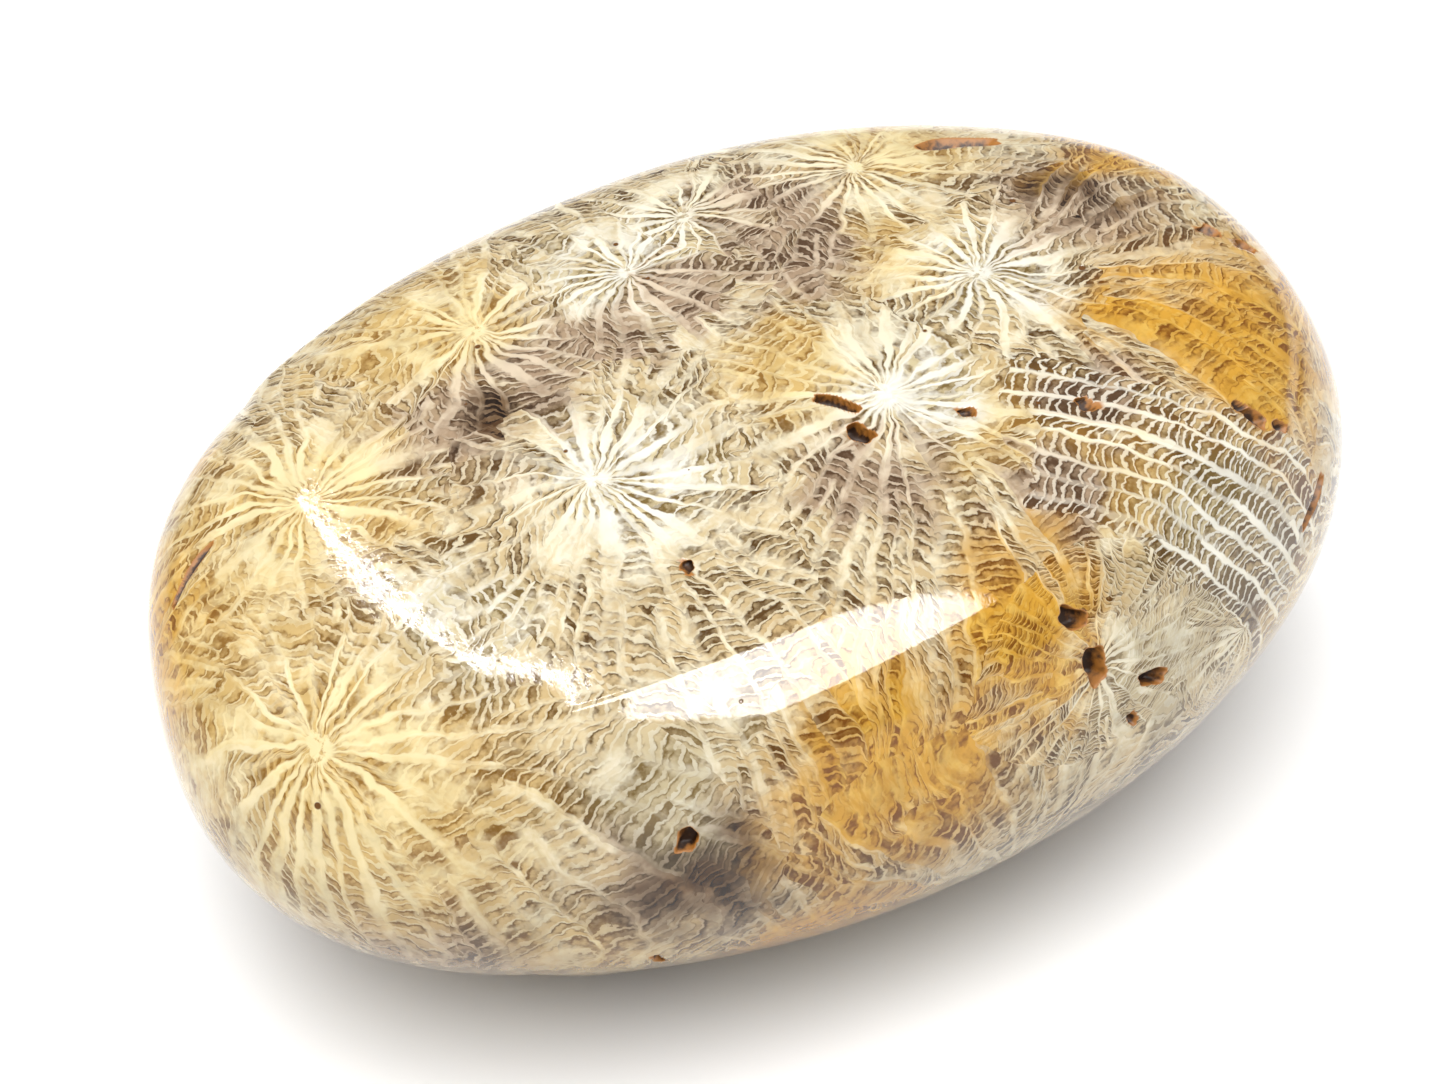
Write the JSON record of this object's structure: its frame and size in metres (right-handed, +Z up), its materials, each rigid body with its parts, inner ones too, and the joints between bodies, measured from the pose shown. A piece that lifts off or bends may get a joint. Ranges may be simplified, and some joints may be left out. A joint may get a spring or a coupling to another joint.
{
  "type": "fossil coral pebble",
  "caption": "Polished palm-sized pebble of fossil coral: an oval bun with a broad crown, soft ground flats round its sides, open pores and a small flat to rest on.",
  "frame": {"origin": "on the resting flat, under the middle of the stone's box", "axes": "+X along the stone's length, +Y across it, +Z up out of the resting flat"},
  "size_m": [0.0636, 0.041, 0.0283],
  "materials": {
    "coral_stone": "polished, silicified coral in cream, white, ochre and purple-brown"
  },
  "bodies": {
    "root": {"pebble": "coral_stone"}
  },
  "joints": []
}
